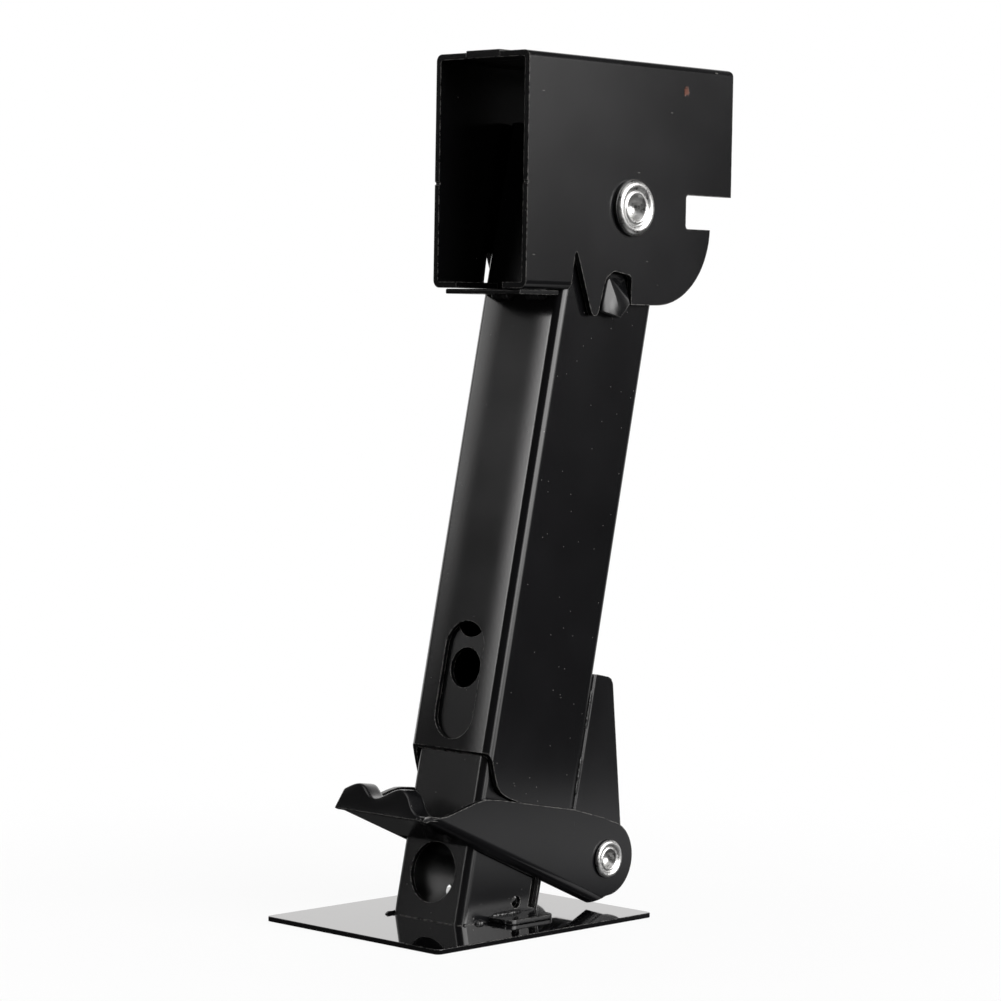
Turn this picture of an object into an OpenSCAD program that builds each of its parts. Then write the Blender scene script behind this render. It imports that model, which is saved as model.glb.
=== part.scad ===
// Folding stabiliser jack for a trailer or camper.
// A sheet bracket carries a rectangular leg that swings up on a tubular rivet.
// An inner leg with a level foot plate telescopes out of the outer leg.
// A foot lever on the leg's rear ears grips the inner leg with a cross bar.
// Frame: origin at the centre of the foot plate's underside, +Z up,
// front of the jack towards -Y, lever pivot and stowed leg towards +Y.

/* [Foot] */
// Foot plate width across the jack
plate_w = 119.5; // [90:0.5:160]
// Foot plate length, front to rear
plate_l = 153; // [110:1:200]
// Foot plate thickness
plate_t = 2.5; // [1.5:0.5:6]
// Foot plate corner radius
plate_r = 3; // [2:0.5:15]
// Length of each foot tab along the jack
tab_l = 32; // [15:1:50]
// Reach of each foot tab beyond the inner leg
tab_w = 15; // [8:1:25]
// Foot tab thickness
tab_t = 2.5; // [1.5:0.5:5]

/* [Leg] */
// Height of the swing pivot above the ground
pivot_z = 355.8; // [300:0.1:420]
// Swing pivot behind the foot plate's centre
pivot_y = 83; // [60:1:110]
// Forward lean of the leg
lean = 11.7; // [5:0.1:20]
// Outer leg width
outer_w = 55; // [45:0.5:57]
// Outer leg face to the front of the pivot
outer_nf = 37.3; // [30:0.1:45]
// Outer leg face to the rear of the pivot
outer_nr = 32.3; // [25:0.1:40]
// Outer leg wall
outer_t = 2.5; // [1.5:0.25:4]
// Outer leg corner radius
outer_r = 5; // [2:0.5:8]
// Outer leg length below the pivot, front wall
outer_s = 283; // [220:1:340]
// Outer leg length above the pivot
outer_top = 36; // [30:1:45]
// Inner leg width
inner_w = 48; // [38:0.5:50]
// Inner leg depth, front to rear
inner_d = 56; // [40:0.5:60]
// Inner leg wall
inner_t = 2.5; // [1.5:0.25:4]
// Length of inner leg inside and below the outer leg
inner_l = 282; // [200:1:320]
// Travel of the inner leg
travel = 180; // [100:1:190]
// Position hole diameter
index_d = 20; // [12:0.5:24]
// Position hole pitch
index_pitch = 25.4; // [20:0.1:40]
// Large hole through both walls near the foot
foot_hole_d = 30; // [20:0.5:36]
// Large hole below the swing pivot, along the leg
foot_hole_s = 344; // [320:1:350]
// Small cross hole diameter
cross_d = 6; // [3:0.5:10]

/* [Bracket] */
// Bracket width
brk_w = 63.5; // [58:0.5:75]
// Bracket sheet thickness
brk_t = 3; // [2:0.25:5]
// Bracket reach in front of the pivot
brk_f = 77.5; // [60:0.5:90]
// Bracket reach behind the pivot
brk_b = 77.5; // [60:0.5:90]
// Bracket height above the pivot
brk_top = 74; // [55:0.5:90]
// Lip underside below the pivot
lip_z = 42; // [38:0.5:50]
// Lip width
lip_w = 16; // [8:0.5:22]
// Radius of the rear tail's corner
tail_r = 41.3; // [25:0.1:48]

/* [Lever] */
// Lever width
lev_w = 62; // [58:0.5:70]
// Lever sheet thickness
lev_t = 2.5; // [2:0.25:4]
// Lever pivot below the swing pivot, along the leg
lev_s = 324.4; // [280:0.1:360]
// Lever pivot behind the swing pivot, square to the leg
lev_n = 58; // [45:0.5:65]
// Fall of the lever from its pedal to its pivot
lev_a = 23.5; // [10:0.5:35]
// Pedal edge in front of the lever pivot
lev_l = 131.5; // [90:0.5:160]
// Web underside below the lever pivot
lev_v = 24; // [18:0.5:30]
// Lever end radius
lev_r = 19; // [15:0.5:24]
// Height of the pedal's tread humps
tread_h = 8.9; // [5:0.1:12]
// Rise and fall of the tread's wave about that height
tread_a = 3.2; // [1:0.1:4]

/* [Rivets] */
// Swing rivet shank diameter
riv_d = 20; // [14:0.5:22]
// Swing rivet head diameter
riv_head = 27.5; // [24:0.5:34]
// Lever rivet shank diameter
lriv_d = 13; // [8:0.5:16]
// Lever rivet head diameter
lriv_head = 19.5; // [16:0.5:26]
// Running clearance on a pivot, radial
run_c = 0.05; // [0.02:0.01:0.1]

/* [Hidden] */
$fn = 64;
// small overlap that keeps joined faces from merely touching
e = 0.01;
// clearance of the inner leg in the outer leg, front and rear
slide_c = 0.5;
brk_in = brk_w / 2 - brk_t;
lev_in = lev_w / 2 - lev_t;
ow = outer_w / 2;
iw = inner_w / 2;
inner_nf = outer_nf - outer_t - slide_c;
inner_nr = inner_d - inner_nf;
// joint strap in the bracket's top
strap_w = 23;
strap_l = 16;
// centre of the tail's round corner, about the swing pivot
tail_y = 19.8;
tail_z = tail_r - 48.8;
brk_y0 = pivot_y - brk_f;
// leg frame to row frame
function leg_y(n, s) = pivot_y - s * sin(lean) + n * cos(lean);
function leg_z(n, s) = pivot_z - s * cos(lean) - n * sin(lean);
// distance along the leg at which face n meets height z
function s_at(n, z) = (pivot_z - z - n * sin(lean)) / cos(lean);
lp_y = leg_y(lev_n, lev_s);
lp_z = leg_z(lev_n, lev_s);
inner_s1 = s_at(0, plate_t);
inner_s0 = inner_s1 - inner_l;
// lowest position hole below the swing pivot
index_s0 = 242;
index_n = 5;
// grip bar in the lever frame, standing bar_gap clear of the inner leg's rear face
bar_r = 4.5;
bar_gap = 0.36;
bar_z = -12.5;
bar_y = (inner_nr - lev_n + bar_r + bar_gap - bar_z * sin(lev_a - lean)) / cos(lev_a - lean);
// inner and outer faces of the ears
ear_t = 3;
ear_out = ow - 2;
ear_in = ear_out - ear_t;
// front edge of the lever's web window; behind it the web is open to the lever's end
win_f = -93.5;
// return spring: coil radius, wire radius and the end of its arm at the grip bar
spring_r = 11.5;
wire_r = 1.2;
arm_y = bar_y + bar_r + 0.3;
// pedal wave over the width
function fade(x) = x < 13 ? 1 : x > 27 ? 0.08 : 1 - 0.92 * (1 - cos(180 * (x - 13) / 14)) / 2;
function wave(x) = (tread_h + tread_a * cos(360 * (x + 20) / 29)) * fade(x);

// ---- helpers ----

// everything inside is drawn in the leg frame: Y square to the leg, -Z down the leg
module on_leg() {
    translate([0, pivot_y, pivot_z])
        rotate([-lean, 0, 0])
            children();
}

// lever frame: origin on the lever pivot, -Y towards the pedal, Z square to the web
module on_lever() {
    translate([0, lp_y, lp_z])
        rotate([-lev_a, 0, 0])
            children();
}

// rectangle from corner a to corner b with rounded corners
module rrect(x0, y0, x1, y1, r) {
    translate([x0 + r, y0])
        square([x1 - x0 - 2 * r, y1 - y0]);
    translate([x0, y0 + r])
        square([x1 - x0, y1 - y0 - 2 * r]);
    for (x = [x0 + r, x1 - r])
        for (y = [y0 + r, y1 - r])
            translate([x, y])
                circle(r);
}

// cylinder along X, from x0 to x1
module xcyl(x0, x1, r) {
    translate([x0, 0, 0])
        rotate([0, 90, 0])
            cylinder(h = x1 - x0, r = r);
}

// extrude a Y-Z outline along X
module xprism(x0, x1) {
    translate([x0, 0, 0])
        rotate([90, 0, 90])
            linear_extrude(x1 - x0)
                children();
}

// extrude an X-Z outline along Y
module yprism(y0, y1) {
    translate([0, y1, 0])
        rotate([90, 0, 0])
            linear_extrude(y1 - y0)
                children();
}

// box from corner to corner
module box(a, b) {
    translate(a)
        cube(b - a);
}

// fillet weld: a three-sided bead along Y from y0 to y1, legs w and h
module bead_y(y0, y1, w, h) {
    yprism(y0, y1)
        polygon([[0, 0], [w, 0], [w * 0.6, h * 0.42], [w * 0.22, h * 0.8], [0, h]]);
}

// ---- bracket ----

// bent sheet section: two side walls and the top web, open below
module brk_section(z_low) {
    difference() {
        rrect(-brk_w / 2, z_low - 20, brk_w / 2, brk_top, 3.5);
        rrect(-brk_in, z_low - 30, brk_in, brk_top - brk_t, 1.5);
        translate([-brk_w, z_low - 40])
            square([2 * brk_w, 40]);
    }
}

// in-turned lip along the front half of each side
module lip_section() {
    for (m = [0, 1])
        mirror([m, 0]) {
            difference() {
                translate([brk_w / 2 - 4, 4 - lip_z])
                    circle(4);
                translate([brk_w / 2 - 4, 4 - lip_z])
                    circle(1);
                translate([brk_w / 2 - 10, 4 - lip_z])
                    square([12, 6]);
                translate([brk_w / 2 - 10, -1 - lip_z])
                    square([6, 6]);
            }
        }
}

// flat of the lips, stopping short of the leg's leaning face
module lip_flats() {
    for (m = [0, 1])
        mirror([m, 0])
            translate([brk_w / 2 - lip_w, -lip_z])
                square([lip_w - 3.99, brk_t]);
}

// material cut away from the sides, drawn about the swing pivot
module brk_cut() {
    // below the front box
    polygon([[-brk_f - 5, -90], [-brk_f - 5, 4 - lip_z], [-44.2, 4 - lip_z], [-44.2, -90]]);
    // relief notch
    polygon([[-44.3, -90], [-44.3, -40], [-42.2, -25], [-41.4, -23.4], [-40.4, -23.4],
        [-39.6, -25], [-30.2, -50.6], [-29.3, -52.9], [-28, -54.4], [-28, -90]]);
    // below the tooth and the working notch
    polygon([[-28.2, -54.4], [-26.6, -54.9], [-25, -54.4], [-24, -53], [-19.6, -38.2], [-18, -35.4],
        [-13.6, -32.6], [-11.8, -32.2], [-0.9, -34], [0.5, -35.4], [0.5, -48.8], [30, -48.8],
        [30, -90], [-28.2, -90]]);
    // rear notch
    polygon([[90, 8.1], [43.2, 8.1], [42.1, 7.6], [41.7, 6.6], [41.7, -7.6], [42.1, -8.7],
        [43.2, -9.2], [90, -9.2]]);
    // outside the round tail
    difference() {
        translate([tail_y, -90])
            square([90, 90 + tail_z]);
        translate([tail_y, tail_z])
            circle(tail_r, $fn = 96);
    }
    // small radius at the upper rear corner
    difference() {
        translate([brk_b - 2, brk_top - 2])
            square([4, 4]);
        translate([brk_b - 2, brk_top - 2])
            circle(2);
    }
}

module mount_bracket() {
    color([0.03, 0.03, 0.035])
        difference() {
            translate([0, pivot_y, pivot_z])
                union() {
                    difference() {
                        yprism(-brk_f, brk_b)
                            brk_section(-60);
                        xprism(-brk_w, brk_w)
                            brk_cut();
                    }
                    yprism(-brk_f, -44.2)
                        lip_section();
                    yprism(-brk_f, -47.6)
                        lip_flats();
                }
            // swing rivet holes
            translate([0, pivot_y, pivot_z])
                xcyl(-brk_w, brk_w, riv_d / 2);
            // gap in the top's front edge for the joint strap
            translate([0, pivot_y, pivot_z])
                box([-strap_w / 2, -brk_f - 1, brk_top - 10], [strap_w / 2, strap_l - brk_f, brk_top + 1]);
            // crimp nicks in the two front edges
            for (x = [-brk_w / 2, brk_w / 2])
                translate([x, brk_y0, pivot_z + 10])
                    rotate([0, 90, 0])
                        cylinder(h = 8, r = 0.8, center = true, $fn = 16);
        }
}

// joint strap let into the top's front edge, standing slightly proud
module top_strap() {
    color([0.03, 0.03, 0.035])
        translate([0, pivot_y, pivot_z])
            box([0.05 - strap_w / 2, -brk_f, brk_top - brk_t],
                [strap_w / 2 - 0.05, strap_l - brk_f - 0.05, brk_top + 1]);
}

// wedge-shaped detent seated in a working notch
module detent() {
    hull() {
        translate([brk_in + 0.6, 0, 0])
            rotate([90, 0, 90])
                linear_extrude(0.6)
                    polygon([[-20.6, -50], [-16.5, -37], [-12.3, -33.4], [-1.6, -35], [-0.6, -44], [-8, -55.5]]);
        translate([brk_w / 2 + 1.2, 0, 0])
            rotate([90, 0, 90])
                linear_extrude(0.3)
                    polygon([[-20.9, -48.4], [-12.4, -43.6], [-1.4, -45.6], [-9.6, -54.8]]);
    }
    // root tying the detent to the bracket beside the notch
    box([brk_in + 0.6, -1.2, -47.5], [brk_w / 2 - 0.8, 0.51, -37]);
}

module detent_right() {
    color([0.05, 0.05, 0.055])
        translate([0, pivot_y, pivot_z])
            detent();
}

module detent_left() {
    color([0.05, 0.05, 0.055])
        translate([0, pivot_y, pivot_z])
            mirror([1, 0, 0])
                detent();
}

// tubular rivet with a rolled rim and a dished mouth at each end, along X
module rivet(half, shank, head, lift) {
    h = head / 2;
    k = shank / 2;
    x0 = half;
    rim_r = h * 0.12;
    rotate([0, 90, 0])
        rotate_extrude()
            union() {
                // shank
                translate([0, -half])
                    square([k, 2 * half]);
                for (m = [0, 1])
                    mirror([0, m])
                        difference() {
                            union() {
                                translate([0, x0 - e])
                                    square([h, lift * 0.35]);
                                translate([0, x0])
                                    square([h - 0.5, lift * 0.6]);
                                translate([h * 0.78, x0 + rim_r])
                                    circle(rim_r, $fn = 24);
                                translate([0, x0])
                                    square([h * 0.78, lift * 0.72]);
                            }
                            // dish
                            polygon([[-1, x0 + lift * 3], [h * 0.74, x0 + lift * 3], [h * 0.66, x0 + lift * 0.75],
                                [h * 0.5, x0 - 1.6], [h * 0.36, x0 - 3.4], [-1, x0 - 4]]);
                            translate([-10, x0 - 20])
                                square([10, 60]);
                        }
            }
}

module pivot_rivet() {
    color([0.75, 0.75, 0.76])
        translate([0, pivot_y, pivot_z])
            difference() {
                rivet(brk_w / 2 + 2, riv_d, riv_head, 2.6);
                // dish floor is open into a blind bore at each end
                for (m = [0, 1])
                    mirror([m, 0, 0])
                        xcyl(brk_w / 2 - 8, brk_w / 2 + 3, riv_head * 0.17);
            }
}

module washer(x0, x1, ro, ri) {
    difference() {
        xcyl(x0, x1, ro);
        xcyl(x0 - 1, x1 + 1, ri);
    }
}

module pivot_washer_right() {
    color([0.03, 0.03, 0.035])
        translate([0, pivot_y, pivot_z])
            washer(brk_w / 2, brk_w / 2 + 2 - 2 * e, riv_head / 2 + 0.6, riv_d / 2 + 0.3);
}

module pivot_washer_left() {
    color([0.03, 0.03, 0.035])
        translate([0, pivot_y, pivot_z])
            washer(2 * e - brk_w / 2 - 2, -brk_w / 2, riv_head / 2 + 0.6, riv_d / 2 + 0.3);
}

// ---- outer leg ----

module outer_leg() {
    color([0.03, 0.03, 0.035])
        on_leg()
            difference() {
                translate([0, 0, -330])
                    linear_extrude(330 + outer_top)
                        difference() {
                            rrect(-ow, -outer_nf, ow, outer_nr, outer_r);
                            rrect(-ow + outer_t, -outer_nf + outer_t, ow - outer_t, outer_nr - outer_t, outer_r - outer_t);
                        }
                // lower end: short front wall, side walls curving down to the rear
                xprism(-60, 60)
                    polygon([[-60, -outer_s], [-36, -outer_s], [-33.5, -outer_s - 3], [-30.5, -outer_s - 9],
                        [-27.5, -outer_s - 14.5], [-24, -outer_s - 17.6], [-19, -outer_s - 19.4],
                        [-10, -outer_s - 20.8], [2, -outer_s - 22], [45, -outer_s - 22], [45, -340], [-60, -340]]);
                // rear wall ends higher, clear of the grip bar
                box([-ow + outer_t + 1, outer_nr - outer_t - 1, -340], [ow - outer_t - 1, outer_nr + 1, -300]);
                // slot in the front wall
                yprism(-60, -20)
                    union() {
                        translate([0, -248.5])
                            square([26, 33], center = true);
                        for (z = [-232, -265])
                            translate([0, z])
                                circle(13);
                    }
                // swing pivot bush holes
                xcyl(-60, 60, riv_d / 2 + 3.5);
            }
}

// bush welded through the leg, running on the swing rivet
module pivot_bush() {
    color([0.2, 0.2, 0.21])
        translate([0, pivot_y, pivot_z])
            washer(-brk_in + 0.35, brk_in - 0.35, riv_d / 2 + 3.5, riv_d / 2 + run_c);
}

// level stop under the bracket's lips
module stop_plate() {
    z1 = pivot_z - lip_z - 0.4;
    z0 = z1 - 2.5;
    y1 = pivot_y + (-outer_nf - (pivot_z - z1) * sin(lean)) / cos(lean);
    y0 = pivot_y + (-outer_nf - (pivot_z - z0) * sin(lean)) / cos(lean);
    color([0.04, 0.04, 0.045])
        xprism(-25.5, 25.5)
            polygon([[8, z0 + 0.4], [8.4, z0], [y0, z0], [y1, z1], [8.6, z1], [8, z1 - 0.5]]);
}

// weld beads under the stop plate, either side of the leg's front face
module stop_welds() {
    z0 = pivot_z - lip_z - 2.9;
    s0 = s_at(-outer_nf, z0);
    color([0.05, 0.05, 0.055])
        for (x = [-19, 4])
            on_leg()
                xprism(x, x + 15)
                    polygon([[-outer_nf, -s0], [-outer_nf, -s0 - 3.5], [-outer_nf - 1.4, -s0 - 2.2],
                        [-outer_nf - 2.8, -s0 - 1.1], [-outer_nf - 3.6, -s0 - 3.6 * tan(lean) - e]]);
}

// outline of one ear, in leg coordinates
module ear_outline() {
    polygon([[outer_nr, -236.5], [outer_nr + 0.4, -235], [outer_nr + 1.6, -233.8], [outer_nr + 3, -233.5],
        [outer_nr + 11.5, -233.5], [outer_nr + 14, -234.2], [outer_nr + 15.9, -236.4],
        [lev_n + 16.7, -lev_s + 5.2], [lev_n, -lev_s + 2], [lev_n - 9, -lev_s - 15],
        [outer_nr + 4, -306], [outer_nr + 3, -303], [outer_nr, -303]]);
    translate([lev_n, -lev_s])
        circle(17.5);
}

module ear_bracket() {
    color([0.03, 0.03, 0.035])
        on_leg()
            difference() {
                union() {
                    for (x = [-ear_out, ear_in])
                        xprism(x, x + ear_t)
                            ear_outline();
                    // web against the leg's rear face
                    box([-ear_in - e, outer_nr, -300], [ear_in + e, outer_nr + ear_t, -236]);
                }
                // rounded bends where the ears leave the web
                for (m = [0, 1])
                    mirror([m, 0, 0])
                        translate([ear_out - ear_t, outer_nr + ear_t, -345])
                            difference() {
                                translate([0, -ear_t - e, 0])
                                    cube([ear_t + 1, ear_t + e, 120]);
                                cylinder(h = 120, r = ear_t);
                            }
                translate([0, lev_n, -lev_s])
                    xcyl(-60, 60, lriv_d / 2 + run_c);
            }
}

// weld beads in the valleys between the ear bracket's bends and the leg's corners
module ear_welds() {
    color([0.05, 0.05, 0.055])
        on_leg()
            for (m = [0, 1])
                mirror([m, 0, 0])
                    for (z = [-262, -296])
                        translate([ear_in, outer_nr, z])
                            linear_extrude(20)
                                polygon([[0.7, 0.05], [2.1, -0.38], [3.3, -1.15], [4.1, 0], [4, 1.4],
                                    [3.25, 2.4], [3.05, 2], [2.4, 0.95], [1.6, 0.3]]);
}

// pad behind the inner leg at the outer leg's mouth
module guide_pad() {
    color([0.25, 0.25, 0.26])
        on_leg()
            box([-14, inner_nr + 0.4, -297], [14, outer_nr - outer_t, -277]);
}

module lever_rivet() {
    color([0.75, 0.75, 0.76])
        translate([0, lp_y, lp_z])
            rotate([-lev_a, 0, 0])
                rivet(lev_w / 2 + 0.4, lriv_d, lriv_head, 2.2);
}

// sleeve on the lever rivet between the ears
module lever_bush() {
    color([0.3, 0.3, 0.31])
        translate([0, lp_y, lp_z])
            washer(-ear_in, ear_in, lriv_d / 2 + 2.5, lriv_d / 2 + run_c);
}

module spacer_right() {
    color([0.4, 0.4, 0.41])
        translate([0, lp_y, lp_z])
            washer(ear_out, lev_in - 0.3, lriv_d / 2 + 4, lriv_d / 2 + run_c);
}

module spacer_left() {
    color([0.4, 0.4, 0.41])
        translate([0, lp_y, lp_z])
            washer(-lev_in + 0.3, -ear_out, lriv_d / 2 + 4, lriv_d / 2 + run_c);
}

// ---- inner leg ----

module inner_leg() {
    color([0.03, 0.03, 0.035])
        difference() {
            on_leg()
                difference() {
                    translate([0, 0, -inner_s1 - 30])
                        linear_extrude(inner_l + 30)
                            difference() {
                                rrect(-iw, -inner_nf, iw, inner_nr, 4.5);
                                rrect(-iw + inner_t, -inner_nf + inner_t, iw - inner_t, inner_nr - inner_t, 2);
                            }
                    // position holes through front and rear walls
                    for (i = [0:index_n - 1])
                        translate([0, 0, -index_s0 + i * index_pitch])
                            rotate([90, 0, 0])
                                cylinder(h = 100, d = index_d, center = true);
                    // large hole near the foot
                    translate([0, 0, -foot_hole_s])
                        rotate([90, 0, 0])
                            cylinder(h = 100, d = foot_hole_d, center = true);
                    // small cross hole
                    translate([0, 3, -352.5])
                        xcyl(-60, 60, cross_d / 2);
                    // windows in the side walls beside the rear wall
                    box([-60, inner_nr - 9.5, -354], [60, inner_nr - 4.5, -336]);
                }
            // cut level at the foot plate
            box([-80, -80, -60], [80, 120, plate_t]);
        }
}

// travel stop behind the inner leg's top end
module stop_block() {
    color([0.2, 0.2, 0.21])
        on_leg()
            box([-14, inner_nr, -inner_s0 - 11], [14, outer_nr - outer_t - 0.5, -inner_s0 - 1]);
}

module foot_plate() {
    color([0.03, 0.03, 0.035])
        linear_extrude(plate_t)
            rrect(-plate_w / 2, -plate_l / 2, plate_w / 2, plate_l / 2, plate_r);
}

// tab lying on the foot plate beside the inner leg
module foot_tab() {
    translate([iw, -5, plate_t])
        linear_extrude(tab_t)
            difference() {
                rrect(-6, 0, tab_w, tab_l, 4);
                translate([-10, -1])
                    square([10, tab_l + 2]);
            }
}

module foot_tab_right() {
    color([0.03, 0.03, 0.035])
        foot_tab();
}

module foot_tab_left() {
    color([0.03, 0.03, 0.035])
        mirror([1, 0, 0])
            foot_tab();
}

// bead between the tab and the inner leg, with a shorter one ahead of the tab
module foot_weld() {
    translate([iw, 0, plate_t + tab_t])
        bead_y(-3, 21, 3, 3);
    translate([iw, 0, plate_t])
        bead_y(-16, -5.4, 3.4, 3.4);
}

module foot_weld_right() {
    color([0.05, 0.05, 0.055])
        foot_weld();
}

module foot_weld_left() {
    color([0.05, 0.05, 0.055])
        mirror([1, 0, 0])
            foot_weld();
}

// ---- lever ----

// side outline of the lever, in the lever frame
module lever_side() {
    polygon([[-lev_l, -lev_v - 1], [-lev_l, -lev_v + 3.2], [-lev_l + 4, -lev_v + 3.6], [-lev_l + 12, -16.6],
        [-103.3, -4.4], [-99, -1.6], [-95.7, -0.2], [-88, 2.2], [-61.8, 8.4], [-34.1, 15], [-11.6, 18.2],
        [-4, 18.5], [2, 10], [8.4, -16.6], [1, -lev_v + 0.9], [-0.6, -lev_v - 1]]);
    circle(lev_r);
}

module foot_lever() {
    color([0.03, 0.03, 0.035])
        on_lever()
            difference() {
                // channel section, open upwards
                yprism(-lev_l, 30)
                    difference() {
                        rrect(-lev_w / 2, -lev_v, lev_w / 2, 24, 5.5);
                        rrect(-lev_in, -lev_v + lev_t, lev_in, 60, 3);
                    }
                // trimmed to the side outline
                xprism(-40, 40)
                    difference() {
                        translate([-lev_l - 10, -lev_v - 10])
                            square([lev_l + 60, lev_v + 60]);
                        lever_side();
                    }
                // open part of the web, for the inner leg and the pivot
                box([-iw - 1.6, win_f, -40], [iw + 1.6, 40, -lev_v + lev_t + 4]);
                // pivot holes
                xcyl(-60, 60, lriv_d / 2 + run_c);
            }
}

// upturned pedal lip with a wavy tread
module pedal_tread() {
    color([0.03, 0.03, 0.035])
        on_lever()
            union() {
                // front flange
                yprism(-lev_l - 2.6, -lev_l)
                    polygon(concat([[-30, -lev_v + 1.2], [-28, -lev_v], [28, -lev_v], [30.6, -lev_v + 2.4]],
                        [for (x = [30.6:-1.53:-31]) [x, max(wave(x) - lev_v + 1.6, -lev_v + 2.5)]]));
                // tread behind the flange, rising to the rear
                translate([0, -lev_l - 2.6, -lev_v])
                    rotate([17, 0, 0])
                        yprism(0, 10)
                            polygon(concat(
                                [for (x = [-30.6:1.53:30.6]) [x, wave(x) + 1.6]],
                                [for (x = [30.6:-1.53:-30.7]) [x, wave(x) - 1]]));
            }
}

// hardened bar that bites the back of the inner leg
module grip_bar() {
    color([0.5, 0.5, 0.51])
        on_lever()
            translate([0, bar_y, bar_z])
                xcyl(-lev_in, lev_in, bar_r);
}

// return spring: a stack of coils round the bush with one arm reaching to the grip bar
module lever_spring() {
    color([0.45, 0.45, 0.46])
        translate([0, lp_y, lp_z])
            rotate([-lev_a, 0, 0])
                union() {
                    for (i = [-2:2])
                        translate([i * 2.3, 0, 0])
                            rotate([0, 90, 0])
                                rotate_extrude()
                                    translate([spring_r, 0])
                                        circle(wire_r, $fn = 16);
                    translate([4.6, arm_y, -spring_r])
                        rotate([-90, 0, 0])
                            cylinder(h = -arm_y, r = wire_r, $fn = 16);
                }
}

mount_bracket();
top_strap();
detent_right();
detent_left();
pivot_rivet();
pivot_washer_right();
pivot_washer_left();
outer_leg();
pivot_bush();
stop_plate();
stop_welds();
ear_bracket();
ear_welds();
guide_pad();
lever_rivet();
lever_bush();
spacer_right();
spacer_left();
inner_leg();
stop_block();
foot_plate();
foot_tab_right();
foot_tab_left();
foot_weld_right();
foot_weld_left();
foot_lever();
pedal_tread();
grip_bar();
lever_spring();
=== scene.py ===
"""Folding stabiliser jack for a trailer: looks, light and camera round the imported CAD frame.

Everything is in metres in the row frame: +Z up, front of the jack towards -Y, side with the
visible rivet heads towards +X. Coordinates that describe an angled part are worked out with
leg_point() and lever_point(), in millimetres along that part's own directions.
"""
import bisect
import math
import random

import bmesh
import bpy
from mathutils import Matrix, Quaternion, Vector


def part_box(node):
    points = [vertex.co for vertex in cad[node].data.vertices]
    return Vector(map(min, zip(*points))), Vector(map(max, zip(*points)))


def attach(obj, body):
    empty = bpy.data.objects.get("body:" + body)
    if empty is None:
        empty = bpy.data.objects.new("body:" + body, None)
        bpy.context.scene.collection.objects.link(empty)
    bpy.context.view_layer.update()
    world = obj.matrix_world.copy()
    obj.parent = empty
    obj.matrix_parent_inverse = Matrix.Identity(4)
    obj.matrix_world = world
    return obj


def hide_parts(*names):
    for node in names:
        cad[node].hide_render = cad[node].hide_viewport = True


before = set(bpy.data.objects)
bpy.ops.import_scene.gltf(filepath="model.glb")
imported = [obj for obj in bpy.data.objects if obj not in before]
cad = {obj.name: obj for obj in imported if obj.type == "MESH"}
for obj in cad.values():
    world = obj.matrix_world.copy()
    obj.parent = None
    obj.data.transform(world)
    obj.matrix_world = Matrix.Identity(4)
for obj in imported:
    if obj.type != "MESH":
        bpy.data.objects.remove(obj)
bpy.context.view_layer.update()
scene = bpy.context.scene
MM = 0.001

# ---- places taken from the frame ----

LEAN = math.radians(11.7)  # forward lean of the leg
LEVER_FALL = math.radians(23.5)  # fall of the foot lever towards its pivot


def middle(node):
    """Centre of a CAD node's box."""
    lo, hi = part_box(node)
    return (lo + hi) / 2


SWING = middle("pivot_bush")
LEVER = middle("lever_bush")
LEG_REAR = Vector((0, math.cos(LEAN), -math.sin(LEAN)))  # square to the leg, rearwards
LEG_DOWN = Vector((0, -math.sin(LEAN), -math.cos(LEAN)))
WEB_REAR = Vector((0, math.cos(LEVER_FALL), -math.sin(LEVER_FALL)))  # along the lever's web
WEB_UP = Vector((0, math.sin(LEVER_FALL), math.cos(LEVER_FALL)))
ACROSS = Vector((1, 0, 0))


def leg_point(x, rear, down):
    """Point given in millimetres across, behind and below the swing pivot along the leg."""
    return SWING + (ACROSS * x + LEG_REAR * rear + LEG_DOWN * down) * MM


def lever_point(x, rear, up):
    """Point given in millimetres across, behind and above the lever's pivot along its web."""
    return LEVER + (ACROSS * x + WEB_REAR * rear + WEB_UP * up) * MM


# ---- materials ----


def add(tree, kind, inputs=None, **settings):
    """Adds a shader node. An input is given as a value or as another node's socket."""
    node = tree.nodes.new("ShaderNode" + kind)
    for key, value in settings.items():
        setattr(node, key, value)
    for key, value in (inputs or {}).items():
        if isinstance(value, bpy.types.NodeSocket):
            tree.links.new(value, node.inputs[key])
        else:
            node.inputs[key].default_value = value
    return node


def math_of(tree, operation, a, b):
    """Output of a Math node."""
    return add(tree, "Math", {0: a, 1: b}, operation=operation).outputs[0]


def ramp(tree, value, low, high, to_low=0.0, to_high=1.0):
    """Smooth step of value from low..high to to_low..to_high."""
    inputs = {"Value": value, "From Min": low, "From Max": high, "To Min": to_low, "To Max": to_high}
    return add(tree, "MapRange", inputs, interpolation_type="SMOOTHSTEP").outputs[0]


def noise(tree, coords, scale, detail=2.0, roughness=0.5):
    """Output of a Noise texture."""
    inputs = {"Vector": coords, "Scale": scale, "Detail": detail, "Roughness": roughness}
    return add(tree, "TexNoise", inputs).outputs[0]


def stretched(tree, coords, scale, turn=(0, 0, 0)):
    """Coordinates scaled by a different amount along each axis, for grain and scratches."""
    return add(tree, "Mapping", {"Vector": coords, "Scale": scale, "Rotation": turn}).outputs[0]


def mix_colour(tree, factor, a, b):
    """Colour between a and b, each a colour socket or three numbers."""
    node = add(tree, "Mix", {"Factor": factor}, data_type="RGBA")
    for socket, value in ((node.inputs[6], a), (node.inputs[7], b)):
        if isinstance(value, bpy.types.NodeSocket):
            tree.links.new(value, socket)
        else:
            socket.default_value = (*value, 1)
    return node.outputs[2]


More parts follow.
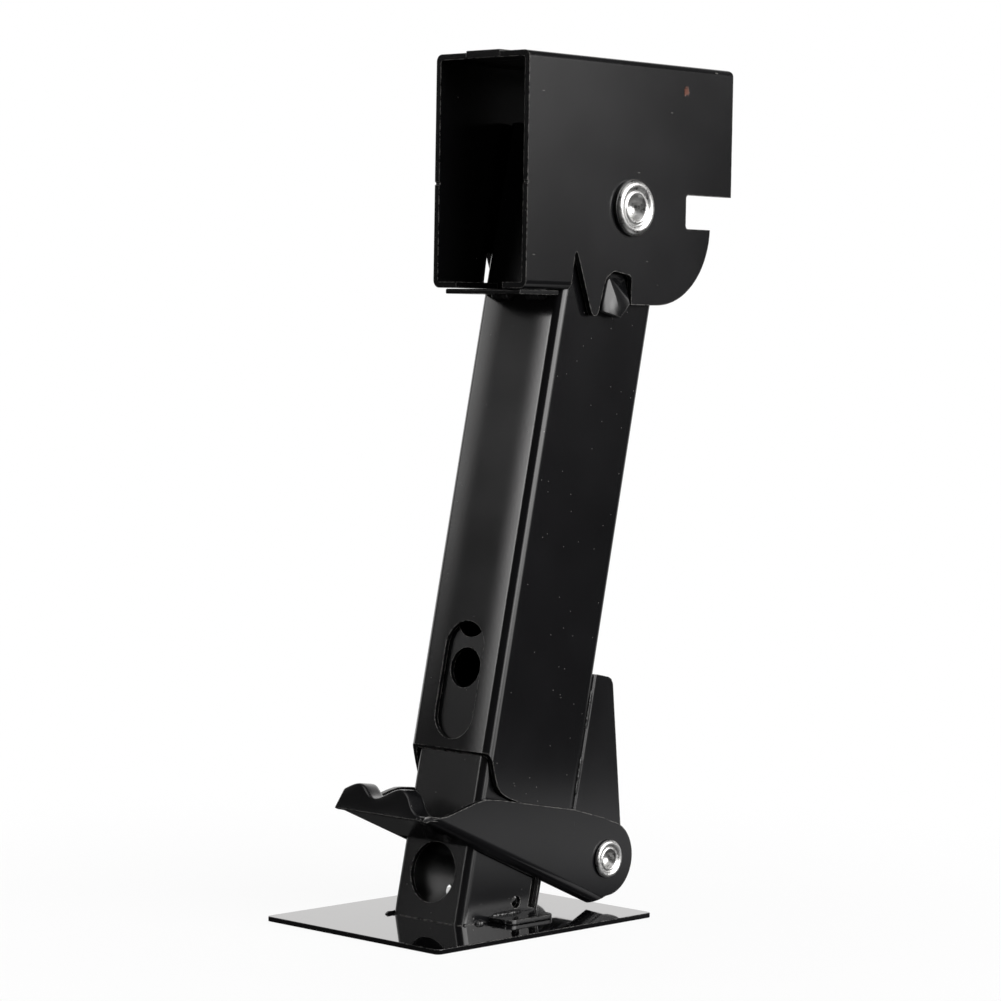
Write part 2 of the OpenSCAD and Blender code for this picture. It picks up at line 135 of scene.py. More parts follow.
def specks(tree, coords, scale, share, size):
    """Small separate spots: about share of the cells of a Voronoi pattern hold one."""
    cells = add(tree, "TexVoronoi", {"Vector": coords, "Scale": scale})
    pick = add(tree, "SeparateColor", {0: cells.outputs["Color"]}).outputs[0]
    chosen = math_of(tree, "GREATER_THAN", pick, 1 - share)
    spot = ramp(tree, cells.outputs["Distance"], size, size * 0.5)
    return math_of(tree, "MULTIPLY", chosen, spot)


def edge_mask(tree, radius):
    """One on outer and inner edges of the shape, zero on its flats."""
    rounded = add(tree, "Bevel", {"Radius": radius}, samples=4).outputs[0]
    true = add(tree, "NewGeometry").outputs["Normal"]
    dot = add(tree, "VectorMath", {0: rounded, 1: true}, operation="DOT_PRODUCT").outputs["Value"]
    return ramp(tree, dot, 0.985, 0.86)


def bump(tree, height, depth, normal=None):
    """Normal of a surface raised by height times depth, in metres."""
    inputs = {"Height": height, "Distance": depth, "Strength": 1.0}
    if normal is not None:
        inputs["Normal"] = normal
    return add(tree, "Bump", inputs).outputs[0]


def mixed(tree, factor, a, b):
    """Mix shader between the first outputs of two shader nodes."""
    node = add(tree, "MixShader", {0: factor})
    tree.links.new(a.outputs[0], node.inputs[1])
    tree.links.new(b.outputs[0], node.inputs[2])
    return node


def new_material(name):
    """Returns a material, its node tree, its Principled shader and the object coordinates."""
    material = bpy.data.materials.new(name)
    material.use_nodes = True
    tree = material.node_tree
    tree.nodes.clear()
    shader = add(tree, "BsdfPrincipled")
    output = add(tree, "OutputMaterial")
    tree.links.new(shader.outputs[0], output.inputs[0])
    coords = add(tree, "TexCoord").outputs["Object"]
    return material, tree, shader, coords


def join(tree, shader, **sockets):
    """Links sockets to a shader's inputs, whose names are written with _ for a space."""
    for key, value in sockets.items():
        tree.links.new(value, shader.inputs[key.replace("_", " ")])


def crown_height(tree, coords, crown):
    """Height in millimetres of a tube wall that falls away slightly near its corners.

    crown holds the half width of the flat middle and how far the wall falls per squared
    millimetre beyond it.
    """
    flat, fall = crown
    across = add(tree, "SeparateXYZ", {0: coords}).outputs[0]
    beyond = math_of(tree, "SUBTRACT", math_of(tree, "ABSOLUTE", across, 0.0), flat * MM)
    beyond = math_of(tree, "MAXIMUM", math_of(tree, "DIVIDE", beyond, MM), 0.0)
    return math_of(tree, "MULTIPLY", math_of(tree, "MULTIPLY", beyond, beyond), -fall)


def chip_mask(tree, coords, place, size):
    """One inside a ragged upright spot of about the given size where the paint has come off."""
    offset = add(tree, "VectorMath", {0: coords, 1: place}, operation="SUBTRACT").outputs[0]
    squeezed = add(tree, "VectorMath", {0: offset, 1: (1, 1.5, 1)}, operation="MULTIPLY").outputs[0]
    length = add(tree, "VectorMath", {0: squeezed}, operation="LENGTH").outputs["Value"]
    ragged = math_of(tree, "MULTIPLY", noise(tree, coords, 700, 2, 0.6), size)
    return ramp(tree, math_of(tree, "ADD", length, ragged), size * 1.25, size * 0.9)


PAINT = (0.0042, 0.0042, 0.0048)
DUST = (0.16, 0.155, 0.15)
BARE_EDGE_AND_HIGHLIGHT = (0.42, 0.41, 0.39)  # steel showing where the paint has drawn off a sharp edge, together with a painted edge highlight
PRIMER = (0.15, 0.055, 0.035)
WORN = (0.1, 0.097, 0.093)  # paint rubbed dull by a scratch


def black_paint(name, rough=0.21, peel=10e-6, coat=0.3, dust=0.014, chip=None, crown=None):
    """Stoved black paint: orange peel, dust nibs, scratches, lighter edges and faint rub marks; the
    lighter edges are partly paint worn thin and partly a painted edge highlight.

    chip is the place and size of a spot of bare primer; crown is as in crown_height().
    """
    material, tree, shader, coords = new_material(name)
    film = noise(tree, coords, 70, 4, 0.6)
    wide = noise(tree, coords, 14, 3, 0.55)
    nibs = specks(tree, coords, 210, dust, 0.11)
    grit = specks(tree, coords, 620, dust * 1.5, 0.2)
    scratches = specks(tree, stretched(tree, coords, (1, 0.3, 1), (0.7, 0, 0)), 190, dust * 1.3, 0.09)
    edges = edge_mask(tree, 0.0009)
    broken = ramp(tree, noise(tree, coords, 420, 3, 0.7), 0.36, 0.58)
    worn_edge_and_highlight = math_of(tree, "MULTIPLY", edges, broken)
    rubs = noise(tree, stretched(tree, coords, (300, 1500, 60), (0.19, 0, 0)), 1.0, 3, 0.6)
    rubbed = ramp(tree, rubs, 0.66, 0.8)

    colour = mix_colour(tree, ramp(tree, wide, 0.35, 0.7), PAINT, tuple(c * 1.5 for c in PAINT))
    # lighter edges: partly steel where the paint has worn thin, partly a painted edge highlight
    colour = mix_colour(tree, math_of(tree, "MULTIPLY", worn_edge_and_highlight, 0.55), colour, BARE_EDGE_AND_HIGHLIGHT)
    colour = mix_colour(tree, math_of(tree, "MAXIMUM", nibs, grit), colour, DUST)
    colour = mix_colour(tree, scratches, colour, WORN)
    height = math_of(tree, "ADD", noise(tree, coords, 640, 2, 0.5), math_of(tree, "MULTIPLY", film, 1.5))
    height = math_of(tree, "ADD", height, math_of(tree, "MULTIPLY", nibs, 5.0))
    if chip:
        bare = chip_mask(tree, coords, *chip)
        colour = mix_colour(tree, bare, colour, PRIMER)
        height = math_of(tree, "SUBTRACT", height, math_of(tree, "MULTIPLY", bare, 4.0))
    gloss = ramp(tree, wide, 0.3, 0.7, rough * 0.88, rough * 1.12)
    gloss = math_of(tree, "ADD", gloss, math_of(tree, "MULTIPLY", rubbed, 0.06))
    gloss = math_of(tree, "ADD", gloss, math_of(tree, "MULTIPLY", nibs, 0.3))
    normal = bump(tree, height, peel)
    if crown:
        normal = bump(tree, crown_height(tree, coords, crown), MM, normal)
    join(tree, shader, Base_Color=colour, Roughness=gloss, Normal=normal)
    shader.inputs["Coat Weight"].default_value = coat
    shader.inputs["Coat Roughness"].default_value = 0.12
    return material


def foot_gloss():
    """High-gloss black of the foot plate, with dust, smears, light rubbing and lighter edges that are
    partly wear and partly a painted edge highlight.
    """
    material, tree, shader, coords = new_material("black_gloss")
    smear = noise(tree, stretched(tree, coords, (30, 70, 30), (0, 0, 0.5)), 1.0, 4, 0.6)
    nibs = specks(tree, coords, 260, 0.02, 0.09)
    edges = edge_mask(tree, 0.0006)
    # lighter edges: partly steel where the paint has worn thin, partly a painted edge highlight
    bare = math_of(tree, "MULTIPLY", edges, ramp(tree, noise(tree, coords, 500, 3, 0.7), 0.4, 0.6))
    colour = mix_colour(tree, math_of(tree, "MULTIPLY", bare, 0.8), PAINT, BARE_EDGE_AND_HIGHLIGHT)
    colour = mix_colour(tree, nibs, colour, DUST)
    gloss = ramp(tree, smear, 0.4, 0.75, 0.045, 0.11)
    height = math_of(tree, "ADD", noise(tree, coords, 90, 2, 0.5), math_of(tree, "MULTIPLY", nibs, 4.0))
    join(tree, shader, Base_Color=colour, Roughness=gloss, Normal=bump(tree, height, 9e-6))
    shader.inputs["Coat Weight"].default_value = 1.0
    shader.inputs["Coat Roughness"].default_value = 0.03
    return material


def metal(name, tint, rough, grain, depth, stain=(0.25, 0.24, 0.23), stained=0.25):
    """Bare or plated metal: fine pits or drawing lines, with stains that dull it in places."""
    material, tree, shader, coords = new_material(name)
    fine = noise(tree, stretched(tree, coords, grain), 1.0, 3, 0.6)
    cloud = noise(tree, coords, 260, 3, 0.6)
    marks = math_of(tree, "MULTIPLY", ramp(tree, cloud, 0.5, 0.72), stained)
    colour = mix_colour(tree, marks, tint, stain)
    gloss = ramp(tree, math_of(tree, "ADD", fine, cloud), 0.7, 1.3, rough * 0.7, rough * 1.35)
    height = math_of(tree, "ADD", fine, math_of(tree, "MULTIPLY", cloud, 2.0))
    join(tree, shader, Base_Color=colour, Roughness=gloss, Normal=bump(tree, height, depth))
    shader.inputs["Metallic"].default_value = 1.0
    return material


def weld_paint():
    """Black paint over a rough weld bead, with spatter."""
    material, tree, shader, coords = new_material("weld")
    lumps = noise(tree, coords, 900, 3, 0.6)
    spatter = specks(tree, coords, 700, 0.2, 0.3)
    colour = mix_colour(tree, ramp(tree, lumps, 0.5, 0.95), PAINT, WORN)
    height = math_of(tree, "ADD", lumps, math_of(tree, "MULTIPLY", spatter, 1.5))
    gloss = ramp(tree, lumps, 0.3, 0.7, 0.24, 0.4)
    join(tree, shader, Base_Color=colour, Roughness=gloss, Normal=bump(tree, height, 1.1e-4))
    shader.inputs["Coat Weight"].default_value = 0.5
    shader.inputs["Coat Roughness"].default_value = 0.1
    return material


def nylon():
    """Moulded black nylon with a fine spark-eroded grain."""
    material, tree, shader, coords = new_material("pad")
    grain = noise(tree, coords, 1800, 2, 0.6)
    wide = noise(tree, coords, 60, 3, 0.6)
    colour = mix_colour(tree, wide, (0.02, 0.02, 0.021), (0.045, 0.045, 0.044))
    gloss = ramp(tree, wide, 0.3, 0.7, 0.48, 0.62)
    join(tree, shader, Base_Color=colour, Roughness=gloss, Normal=bump(tree, grain, 3e-5))
    return material


BRACKET_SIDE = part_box("mount_bracket")[1].x
CHIP_PLACE = Vector((BRACKET_SIDE, SWING.y + 40.5 * MM, SWING.z + 61 * MM))
CHIP_SIZE = 4.2 * MM
LEG_CROWN = (9, 0.0024)
MATERIALS = {
    "black_paint": black_paint("black_paint"),
    "black_gloss": foot_gloss(),
    "zinc": metal("zinc", (0.7, 0.7, 0.69), 0.33, (900, 900, 900), 9e-6),
    "bare_steel": metal("bare_steel", (0.4, 0.4, 0.41), 0.32, (2400, 300, 300), 8e-6),
    "spring_wire": metal("spring_wire", (0.3, 0.3, 0.31), 0.36, (500, 900, 900), 8e-6),
    "weld": weld_paint(),
    "pad": nylon(),
}
OWN_PAINT = {
    "mount_bracket": black_paint("bracket_paint", rough=0.19, peel=11e-6, dust=0.03,
                                 chip=(CHIP_PLACE, CHIP_SIZE)),
    "outer_leg": black_paint("leg_paint", rough=0.155, dust=0.006, crown=LEG_CROWN),
}


# ---- carried-over CAD nodes: rounded edges and finish ----

EDGE = {  # rounding of each node's edges, in millimetres
    "mount_bracket": 0.45, "top_strap": 0.3, "pivot_washer_right": 0.4, "pivot_washer_left": 0.4,
    "outer_leg": 0.4, "inner_leg": 0.4, "stop_plate": 0.45, "ear_bracket": 0.45, "foot_plate": 0.35,
    "foot_tab_right": 0.6, "foot_tab_left": 0.6, "foot_lever": 0.45, "guide_pad": 0.5,
    "stop_block": 0.4, "grip_bar": 0.3, "pivot_bush": 0.3, "lever_bush": 0.3, "spacer_right": 0.3,
    "spacer_left": 0.3,
}


def round_edges(shape, radius, segments, angle):
    """Adds a bevel of radius millimetres to the edges sharper than angle degrees."""
    edges = shape.modifiers.new("edges", "BEVEL")
    edges.width = radius * MM
    edges.segments = segments
    edges.limit_method = "ANGLE"
    edges.angle_limit = math.radians(angle)
    return edges


def soften(node, radius):
    """Rounds a CAD node's sharp edges with modifiers; its own mesh stays as it is."""
    shape = cad[node]
    for layer in ("custom_normal", "sharp_edge", "sharp_face"):
        if layer in shape.data.attributes:
            shape.data.attributes.remove(shape.data.attributes[layer])
    weld = shape.modifiers.new("weld", "WELD")
    weld.merge_threshold = 2e-6
    flats = shape.modifiers.new("flats", "DECIMATE")
    flats.decimate_type = "DISSOLVE"
    flats.angle_limit = math.radians(0.4)
    round_edges(shape, radius, 3, 32).miter_outer = "MITER_ARC"
    normals = shape.modifiers.new("normals", "WEIGHTED_NORMAL")
    normals.weight = 60


def finish_of(node):
    """Name of the material slot that a CAD node came with."""
    slots = cad[node].material_slots
    return slots[0].material.name.split(".")[0] if slots and slots[0].material else "black_paint"


for node, shape in cad.items():
    slot_name = finish_of(node)
    material = OWN_PAINT.get(node, MATERIALS[slot_name])
    shape.data.materials.clear()
    shape.data.materials.append(material)
for node, radius in EDGE.items():
    soften(node, radius)


# ---- pieces in mesh code ----

SIDES = ((1, "right"), (-1, "left"))


def piece(name, points, faces, body, slot_name, *replaced):
    """Makes a smooth closed mesh from points and faces, and hangs it on its body."""
    mesh = bpy.data.meshes.new(name)
    mesh.from_pydata([tuple(p) for p in points], [], faces)
    mesh.validate()
    mesh.shade_smooth()
    mesh.materials.append(MATERIALS[slot_name])
    made = bpy.data.objects.new(name, mesh)
    scene.collection.objects.link(made)
    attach(made, body)
    if replaced:
        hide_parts(*replaced)
    return made


def flipped(faces):
    """The same faces seen from their other side."""
    return [tuple(reversed(face)) for face in faces]


def skin(rings, start=None, end=None):
    """Points and faces of a closed tube through rings of equal length.

    start and end are the points that close it; without them the end rings are faces themselves.
    """
    count = len(rings[0])
    points = [p for ring in rings for p in ring]
    faces = []
    for i in range(len(rings) - 1):
        for k in range(count):
            a = i * count + k
            b = i * count + (k + 1) % count
            faces.append((a, b, b + count, a + count))
    last = (len(rings) - 1) * count
    if start is None:
        faces.append(tuple(reversed(range(count))))
    else:
        points.append(start)
        faces += [((k + 1) % count, k, len(points) - 1) for k in range(count)]
    if end is None:
        faces.append(tuple(range(last, last + count)))
    else:
        points.append(end)
        faces += [(last + k, last + (k + 1) % count, len(points) - 1) for k in range(count)]
    return points, faces


def lathe(centre, profile, segments=112):
    """Closed solid turned about an axis along X; profile is (x, radius) from end to end."""
    rings = []
    for x, radius in profile[1:-1]:
        ring = []
        for k in range(segments):
            turn = 2 * math.pi * k / segments
            ring.append(centre + Vector((x, radius * math.cos(turn), radius * math.sin(turn))))
        rings.append(ring)
    start = centre + Vector((profile[0][0], 0, 0))
    end = centre + Vector((profile[-1][0], 0, 0))
    return skin(rings, start, end)


# one rivet end: (height above the seat, radius) as shares of the head's radius, centre outwards
RIVET_END = [
    (-0.27, 0.0), (-0.27, 0.1), (-0.24, 0.19), (-0.17, 0.28), (-0.07, 0.36), (0.05, 0.43),
    (0.125, 0.48), (0.155, 0.515), (0.165, 0.545), (0.15, 0.58), (0.122, 0.605), (0.118, 0.635),
    (0.145, 0.67), (0.182, 0.72), (0.205, 0.775), (0.215, 0.83), (0.205, 0.885), (0.178, 0.935),
    (0.135, 0.975), (0.085, 0.998), (0.04, 0.99), (0.012, 0.965), (0.0, 0.92),
]


def rivet(name, body, node, centre, seat, head, shank):
    """Tubular rivet with a rolled, dished head at each end; seat is half its grip."""
    end = [(seat + height * head, radius * head) for height, radius in RIVET_END]
    half = end + [(seat, shank * 1.02), (seat - 0.1 * MM, shank)]
    profile = half + [(-x, radius) for x, radius in reversed(half)]
    points, faces = lathe(centre, profile)
    return piece(name, points, faces, body, "zinc", node)


def head_radius(node):
    """Radius of a rivet's head: half the height of its box, as its axis lies along X."""
    lo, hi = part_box(node)
    return (hi.z - lo.z) / 2


SWING_SHANK = 10 * MM
LEVER_SHANK = 6.5 * MM
swing_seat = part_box("pivot_washer_right")[1].x - 0.9 * MM  # the head has bedded into its washer
lever_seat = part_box("foot_lever")[1].x + 0.3 * MM
rivet("swing_rivet", "bracket", "pivot_rivet", SWING, swing_seat, head_radius("pivot_rivet"), SWING_SHANK)
rivet("foot_lever_rivet", "leg", "lever_rivet", LEVER, lever_seat, head_radius("lever_rivet"), LEVER_SHANK)


def tube(path, radius, sides=14):
    """Round tube through a list of points, with rings square to the path."""
    rings = []
    up = Vector((0, 0, 1))
    for i, point in enumerate(path):
        ahead = path[min(i + 1, len(path) - 1)]
        behind = path[max(i - 1, 0)]
        along = (ahead - behind).normalized()
        side = along.cross(up if abs(along.z) < 0.95 else ACROSS).normalized()
        if rings and side.dot(previous) < 0:
            side = -side
        previous = side
        other = along.cross(side)
        ring = []
        for k in range(sides):
            turn = 2 * math.pi * k / sides
            ring.append(point + (side * math.cos(turn) + other * math.sin(turn)) * radius)
        rings.append(ring)
    return skin(rings, path[0], path[-1])


def spring_path():
    """Torsion spring round the lever's bush: four and a half close turns and an arm at each end.

    The first arm reaches forward and ends just behind the grip bar.
    """
    radius = 11.5
    pitch = 2.45
    turns = 4.5
    steps = 40
    count = int(turns * steps)
    path = [lever_point(-turns * pitch / 2, rear, -radius) for rear in (-24.4, -16, -7)]
    for i in range(count + 1):
        turn = 2 * math.pi * i / steps
        x = pitch * (i / steps - turns / 2)
        path.append(lever_point(x, radius * math.sin(turn), -radius * math.cos(turn)))
    top = path[-1]
    path += [top - WEB_REAR * reach * MM for reach in (3.5, 7, 10.5)]
    return path


WIRE = 1.15 * MM
points, faces = tube(spring_path(), WIRE)
piece("return_spring", points, faces, "lever", "spring_wire", "lever_spring")


RIPPLE = 1.5 * MM  # mean length of a weld ripple
BEAD_STEP = 0.22 * MM
BEAD_TAPER = 1.8 * MM  # length over which a bead's end rises to full size
BEAD_ARC = 9  # points across a bead's face


def bead(start, end, leg_a, leg_b, seed):
    """Fillet weld along an inside corner from start to end, with overlapping uneven ripples.

    leg_a and leg_b reach from the corner along its two faces.
    """
    chance = random.Random(seed)
    length = (end - start).length
    marks = [-RIPPLE]
    while marks[-1] < length + RIPPLE:
        marks.append(marks[-1] + RIPPLE * chance.uniform(0.6, 1.6))
    sizes = [chance.uniform(0.78, 1.1) for _ in marks]
    steps = max(16, int(length / BEAD_STEP))
    inside = -(leg_a + leg_b) * 0.08
    rings = []
    for i in range(steps + 1):
        share = i / steps
        from_end = min(share, 1 - share) * length
        taper = min(1.0, math.sqrt(max(from_end, 0.02 * MM) / BEAD_TAPER))
        ring = [start.lerp(end, share) + inside]
        for k in range(BEAD_ARC):
            turn = math.pi / 2 * k / (BEAD_ARC - 1)
            belly = math.sin(2 * turn)
            along = share * length - 0.5 * RIPPLE * belly
            n = bisect.bisect_right(marks, along) - 1
            phase = (along - marks[n]) / (marks[n + 1] - marks[n])
            swell = sizes[n] + (sizes[n + 1] - sizes[n]) * phase
            size = taper * swell * (0.92 + 0.1 * phase * phase + 0.05 * belly)
            offset = leg_a * math.cos(turn) ** 1.25 + leg_b * math.sin(turn) ** 1.25
            ring.append(start.lerp(end, share) + offset * size)
        rings.append(ring)
    return skin(rings)


def joined(parts):
    """Several point and face lists as one."""
    points = []
    faces = []
    for more_points, more_faces in parts:
        first = len(points)
        points += more_points
        faces += [tuple(first + i for i in face) for face in more_faces]
    return points, faces


def foot_beads(side):
    """Welds beside the inner leg: a long one on the tab and two short ones ahead of it.

    Each run is its front, rear, the height it lies on and its leg length.
    """
    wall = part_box("inner_leg")[1].x * side
    tab_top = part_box("foot_tab_right")[1].z
    plate_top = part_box("foot_plate")[1].z
    first = 3 * side - 26
    runs = [(-3, 18.5, tab_top, 1.5), (-15, -8, plate_top, 1.9), (first, -20.5, plate_top, 1.5)]
    parts = []
    for number, (front, rear, floor_z, leg) in enumerate(runs):
        start = Vector((wall, front * MM, floor_z))
        end = Vector((wall, rear * MM, floor_z))
        outward = Vector((side * leg * MM, 0, 0))
        parts.append(bead(start, end, outward, Vector((0, 0, leg * MM)), 10 * side + number))
    return joined(parts)


for side, word in SIDES:
    points, faces = foot_beads(side)
    if side < 0:
        faces = flipped(faces)
    piece("foot_bead_" + word, points, faces, "foot", "weld", "foot_weld_" + word)


def stop_beads():
    """Two beads under the stop plate on the leg's front face."""
    plate_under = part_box("stop_plate")[0].z
    front = -37.3
    length = 15
    leg = 2.8 * MM
    down = (SWING.z - plate_under - front * MM * math.sin(LEAN)) / math.cos(LEAN) / MM
    parts = []
    for left in (-19, 4):
        start = leg_point(left, front, down)
        end = leg_point(left + length, front, down)
        parts.append(bead(start, end, LEG_DOWN * leg, Vector((0, -leg, 0)), 50 + left))
    return joined(parts)


points, faces = stop_beads()
piece("stop_bead", points, faces, "leg", "weld", "stop_welds")


def ear_beads():
    """Short beads down the valley between the ear bracket's bends and the leg's rear corners."""
    across = 25.4
    rear = 32.5
    length = 20
    parts = []
    for side, _ in SIDES:
        for top in (242, 276):
            start = leg_point(side * across, rear, top)
            end = leg_point(side * across, rear, top + length)
            leg_a = (ACROSS * side * 0.9 - LEG_REAR * 1.1) * MM
            leg_b = (ACROSS * side * 0.7 + LEG_REAR * 1.3) * MM
            points, faces = bead(start, end, leg_a, leg_b, side * top)
            if side > 0:
                faces = flipped(faces)
            parts.append((points, faces))
    return joined(parts)


points, faces = ear_beads()
piece("ear_bead", points, faces, "leg", "weld", "ear_welds")


# detent lug: (outward from the bracket's side, rear and up from the swing pivot) in millimetres
LUG_FACE = [
    (0.6, -12.4, -43.9), (1.0, -1.4, -48.6), (2.1, -9.2, -55.4), (-0.2, -21.6, -52.4),
    (-1.8, -14.6, -35.6), (-3.2, -1.0, -35.6), (-3.5, -17.8, -38.0),
]
LUG_BACK = -3.5
LUG_OUTLINE = 5  # how many of the points, from the first, are repeated at the back


def lug(side):
    """Convex lug in the bracket's working notch, with flat facets in front that meet at ridges."""
    corners = LUG_FACE + [(LUG_BACK, rear, up) for _, rear, up in LUG_FACE[:LUG_OUTLINE]]
    shape = bmesh.new()
    for out, rear, up in corners:
        x = (BRACKET_SIDE + out * MM) * side
        shape.verts.new((x, SWING.y + rear * MM, SWING.z + up * MM))
    hull = bmesh.ops.convex_hull(shape, input=shape.verts)
    bmesh.ops.delete(shape, geom=hull["geom_interior"], context="VERTS")
    bmesh.ops.dissolve_limit(shape, angle_limit=math.radians(3), verts=shape.verts, edges=shape.edges)
    bmesh.ops.recalc_face_normals(shape, faces=shape.faces)
    shape.verts.index_update()
    points = [vert.co.copy() for vert in shape.verts]
    faces = [tuple(vert.index for vert in face.verts) for face in shape.faces]
    shape.free()
    return points, faces


for side, word in SIDES:
    points, faces = lug(side)
    made = piece("lug_" + word, points, faces, "bracket", "black_paint", "detent_" + word)
    round_edges(made, 0.5, 3, 12)


# pedal, in millimetres about the lever's pivot
PEDAL_HALF = 30.6
PEDAL_FRONT = -134.1
WEB_UNDER = -24.0
HUMP = 9.7  # mean height of the wavy edge
HUMP_WAVE = 3.2  # rise and fall about that height
HUMP_PITCH = 29
HUMP_START = -23  # a crest
FADE_FROM = 13  # the wave dies away from here over FADE_OVER towards the right side
FADE_OVER = 14
FADE_DEPTH = 0.92
LEAN_BACK = 0.22  # how far the lip leans to the rear for each millimetre of height


def tread_height(x):
    """Height of the pedal's wavy edge above the web's underside."""
    fall = min(max((x - FADE_FROM) / FADE_OVER, 0), 1)
    fade = 1 - FADE_DEPTH * (1 - math.cos(math.pi * fall)) / 2
    return (HUMP + HUMP_WAVE * math.cos(2 * math.pi * (x - HUMP_START) / HUMP_PITCH)) * fade


# section of the lip: rearward, fixed height, and share of the wave, clockwise from the bottom front
LIP = [
    (0.0, 0.25, 0), (0.0, 1.0, 0.5), (0.0, 0.6, 1), (0.15, 1.3, 1), (0.65, 1.9, 1), (1.5, 2.3, 1),
    (4.0, 3.1, 1), (7.6, 4.2, 1), (8.8, 4.45, 1), (9.5, 4.1, 1), (9.7, 3.4, 1), (9.3, 2.5, 1),
    (8.4, 2.0, 1), (6.0, 1.3, 1), (3.6, 0.3, 1), (2.7, -0.7, 0.95), (2.6, 0.9, 0.5), (2.6, 0.25, 0),
    (2.2, 0.0, 0), (0.4, 0.0, 0),
]


def pedal_lip():
    """Upturned lip along the pedal's front: the section swept across, its height following the wave."""
    columns = 88
    rings = []
    for i in range(columns + 1):
        x = PEDAL_HALF * (2 * i / columns - 1)
        wave = tread_height(x)
        ring = []
        for rear, lift, share in LIP:
            height = max(lift + share * wave, 0)
            ring.append(lever_point(x, PEDAL_FRONT + rear + LEAN_BACK * height, WEB_UNDER + height))
        rings.append(ring)
    points, faces = skin(rings)
    return piece("pedal_lip", points, faces, "lever", "black_paint", "pedal_tread")


round_edges(pedal_lip(), 0.3, 2, 50)


# ---- floor, light and camera ----

FLOOR_RADIUS = 0.72
FLOOR_DROP = 0.0002  # how far the floor lies below the foot plate
POOL = (0.22, 0.25, 0)  # middle of the painted pool of light, a glow of the floor behind the jack's right side
POOL_FULL = 0.05  # radius at full strength
POOL_FADED = 0.27
PAINTED_POOL_GLOW = 0.55
PAINTED_FLOOR_SHADE = 0.03  # painted shade: radiance the floor gives off outside the pool, as the paint reflects it
CLEAR_NEAR = 0.93  # clear share of the floor under the jack; it is all clear at its rim


def floor():
    """Pale disc under the jack. Seen directly it is mostly clear, so the white ground shows.

    Reflections see it glow as a dim floor of painted shade with one soft painted pool of light.
    """
    segments = 96
    ring = []
    for k in range(segments):
        turn = 2 * math.pi * k / segments
        ring.append((FLOOR_RADIUS * math.cos(turn), FLOOR_RADIUS * math.sin(turn), -FLOOR_DROP))
    mesh = bpy.data.meshes.new("floor")
    mesh.from_pydata(ring, [], [tuple(range(segments))])
    made = bpy.data.objects.new("floor", mesh)
    scene.collection.objects.link(made)
    material, tree, shader, coords = new_material("floor")
    cloud = noise(tree, coords, 3, 2, 0.5)
    join(tree, shader, Base_Color=mix_colour(tree, cloud, (0.86, 0.86, 0.86), (0.9, 0.9, 0.9)))
    shader.inputs["Roughness"].default_value = 0.7
    clear = add(tree, "BsdfTransparent")
    out = add(tree, "VectorMath", {0: coords}, operation="LENGTH").outputs["Value"]
    pale = mixed(tree, ramp(tree, out, 0.12, 0.5, CLEAR_NEAR, 1.0), shader, clear)
    away = add(tree, "VectorMath", {0: coords, 1: POOL}, operation="DISTANCE").outputs["Value"]
    # painted light: for everything but the camera the floor glows, dim as painted shade and brighter in
    # the painted pool of light
    dim = add(tree, "Emission", {"Strength": ramp(tree, away, POOL_FULL, POOL_FADED, PAINTED_POOL_GLOW, PAINTED_FLOOR_SHADE)})
    both = mixed(tree, add(tree, "LightPath").outputs["Is Camera Ray"], dim, pale)
    output = next(node for node in tree.nodes if node.bl_idname == "ShaderNodeOutputMaterial")
    tree.links.new(both.outputs[0], output.inputs[0])
    mesh.materials.append(material)


def heading(azimuth, elevation):
    """Unit vector: azimuth 0 is the front (-Y) and 90 is +X, in degrees."""
    a = math.radians(azimuth)
    e = math.radians(elevation)
    return Vector((math.sin(a) * math.cos(e), -math.cos(a) * math.cos(e), math.sin(e)))


# soft windows of studio light. Azimuth and elevation each give centre, half width at full
# strength and half width where it has faded out, in degrees; then the radiance
WINDOWS = [
    ((103, 25, 38), (24, 16, 25), 4.8),  # tall window at the right rear
    ((108, 5, 15), (0, 8, 16), 1.8),  # its low part, seen in the upright corners
    ((-32, 4, 10), (19, 2.5, 12), 6.6),  # strip box at the front left
    ((-59, 5, 13), (17, 3, 8), 2.5),  # faint card beside it
    ((-136, 40, 70), (12, 12, 30), 0.9),  # backdrop seen in the foot plate
    ((180, 180, 181), (80, 12, 26), 0.5),  # bounce from the ceiling
]
ROOM = 0.045  # radiance of the dark room between the windows


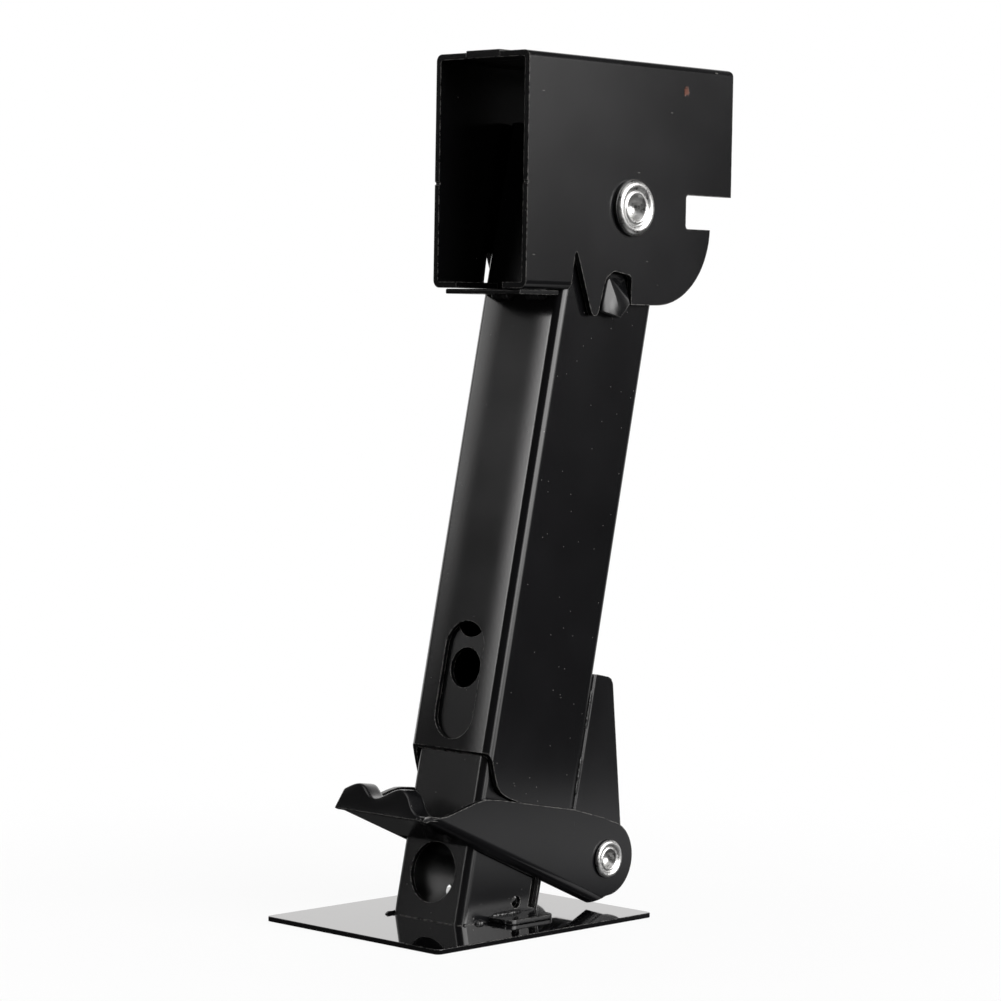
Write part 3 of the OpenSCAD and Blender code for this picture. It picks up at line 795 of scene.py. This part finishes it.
def studio():
    """White ground to the camera; soft windows of light in a dim room to everything else."""
    world = bpy.data.worlds.new("studio")
    scene.world = world
    world.use_nodes = True
    tree = world.node_tree
    tree.nodes.clear()
    way = add(tree, "TexCoord").outputs["Generated"]
    parts = add(tree, "SeparateXYZ", {0: way}).outputs
    azimuth = math_of(tree, "ARCTAN2", parts[0], math_of(tree, "MULTIPLY", parts[1], -1.0))
    elevation = math_of(tree, "ARCSINE", parts[2], 0.0)

    def span(angle, centre, full, faded):
        """One within full of centre, zero beyond faded, turning the short way round."""
        off = math_of(tree, "SUBTRACT", angle, math.radians(centre))
        turn = add(tree, "Math", {0: off, 1: math.pi, 2: -math.pi}, operation="WRAP").outputs[0]
        return ramp(tree, math_of(tree, "ABSOLUTE", turn, 0.0), math.radians(faded), math.radians(full))

    total = ROOM
    for across, upward, radiance in WINDOWS:
        window = math_of(tree, "MULTIPLY", span(azimuth, *across), span(elevation, *upward))
        total = math_of(tree, "ADD", math_of(tree, "MULTIPLY", window, radiance), total)
    room = add(tree, "Background", {"Color": (1, 0.99, 0.985, 1), "Strength": total})
    white = add(tree, "Background", {"Color": (1, 1, 1, 1), "Strength": 1.0})
    both = mixed(tree, add(tree, "LightPath").outputs["Is Camera Ray"], room, white)
    output = add(tree, "OutputWorld")
    tree.links.new(both.outputs[0], output.inputs[0])


def soft_box(name, place, target, size, power):
    """Rectangular area light at place, turned to target."""
    data = bpy.data.lights.new(name, "AREA")
    data.shape = "RECTANGLE"
    data.size = size[0]
    data.size_y = size[1]
    data.energy = power
    made = bpy.data.objects.new(name, data)
    made.location = place
    made.rotation_mode = "QUATERNION"
    made.rotation_quaternion = (Vector(target) - Vector(place)).to_track_quat("-Z", "Y")
    made.visible_camera = False
    scene.collection.objects.link(made)


CAMERA_PLACE = (1.13466, -1.1708, 0.2930)
CAMERA_AZIMUTH = 43.53
CAMERA_ELEVATION = 2.95
CAMERA_ROLL = 0.98
CAMERA_LENS = 118.69


def camera():
    """Long lens at the right front, slightly above the middle of the jack."""
    data = bpy.data.cameras.new("camera")
    data.sensor_width = 36
    data.lens = CAMERA_LENS
    data.clip_start = 0.05
    data.clip_end = 50
    made = bpy.data.objects.new("camera", data)
    made.location = CAMERA_PLACE
    made.rotation_mode = "QUATERNION"
    towards = -heading(CAMERA_AZIMUTH, CAMERA_ELEVATION)
    roll = Quaternion((0, 0, 1), math.radians(CAMERA_ROLL))
    made.rotation_quaternion = towards.to_track_quat("-Z", "Y") @ roll
    scene.collection.objects.link(made)
    scene.camera = made


floor()
studio()
soft_box("overhead", (0.1, -0.2, 1.5), (0, 0, 0.1), (1.4, 1.4), 2.5)
camera()
scene.view_settings.view_transform = "Standard"
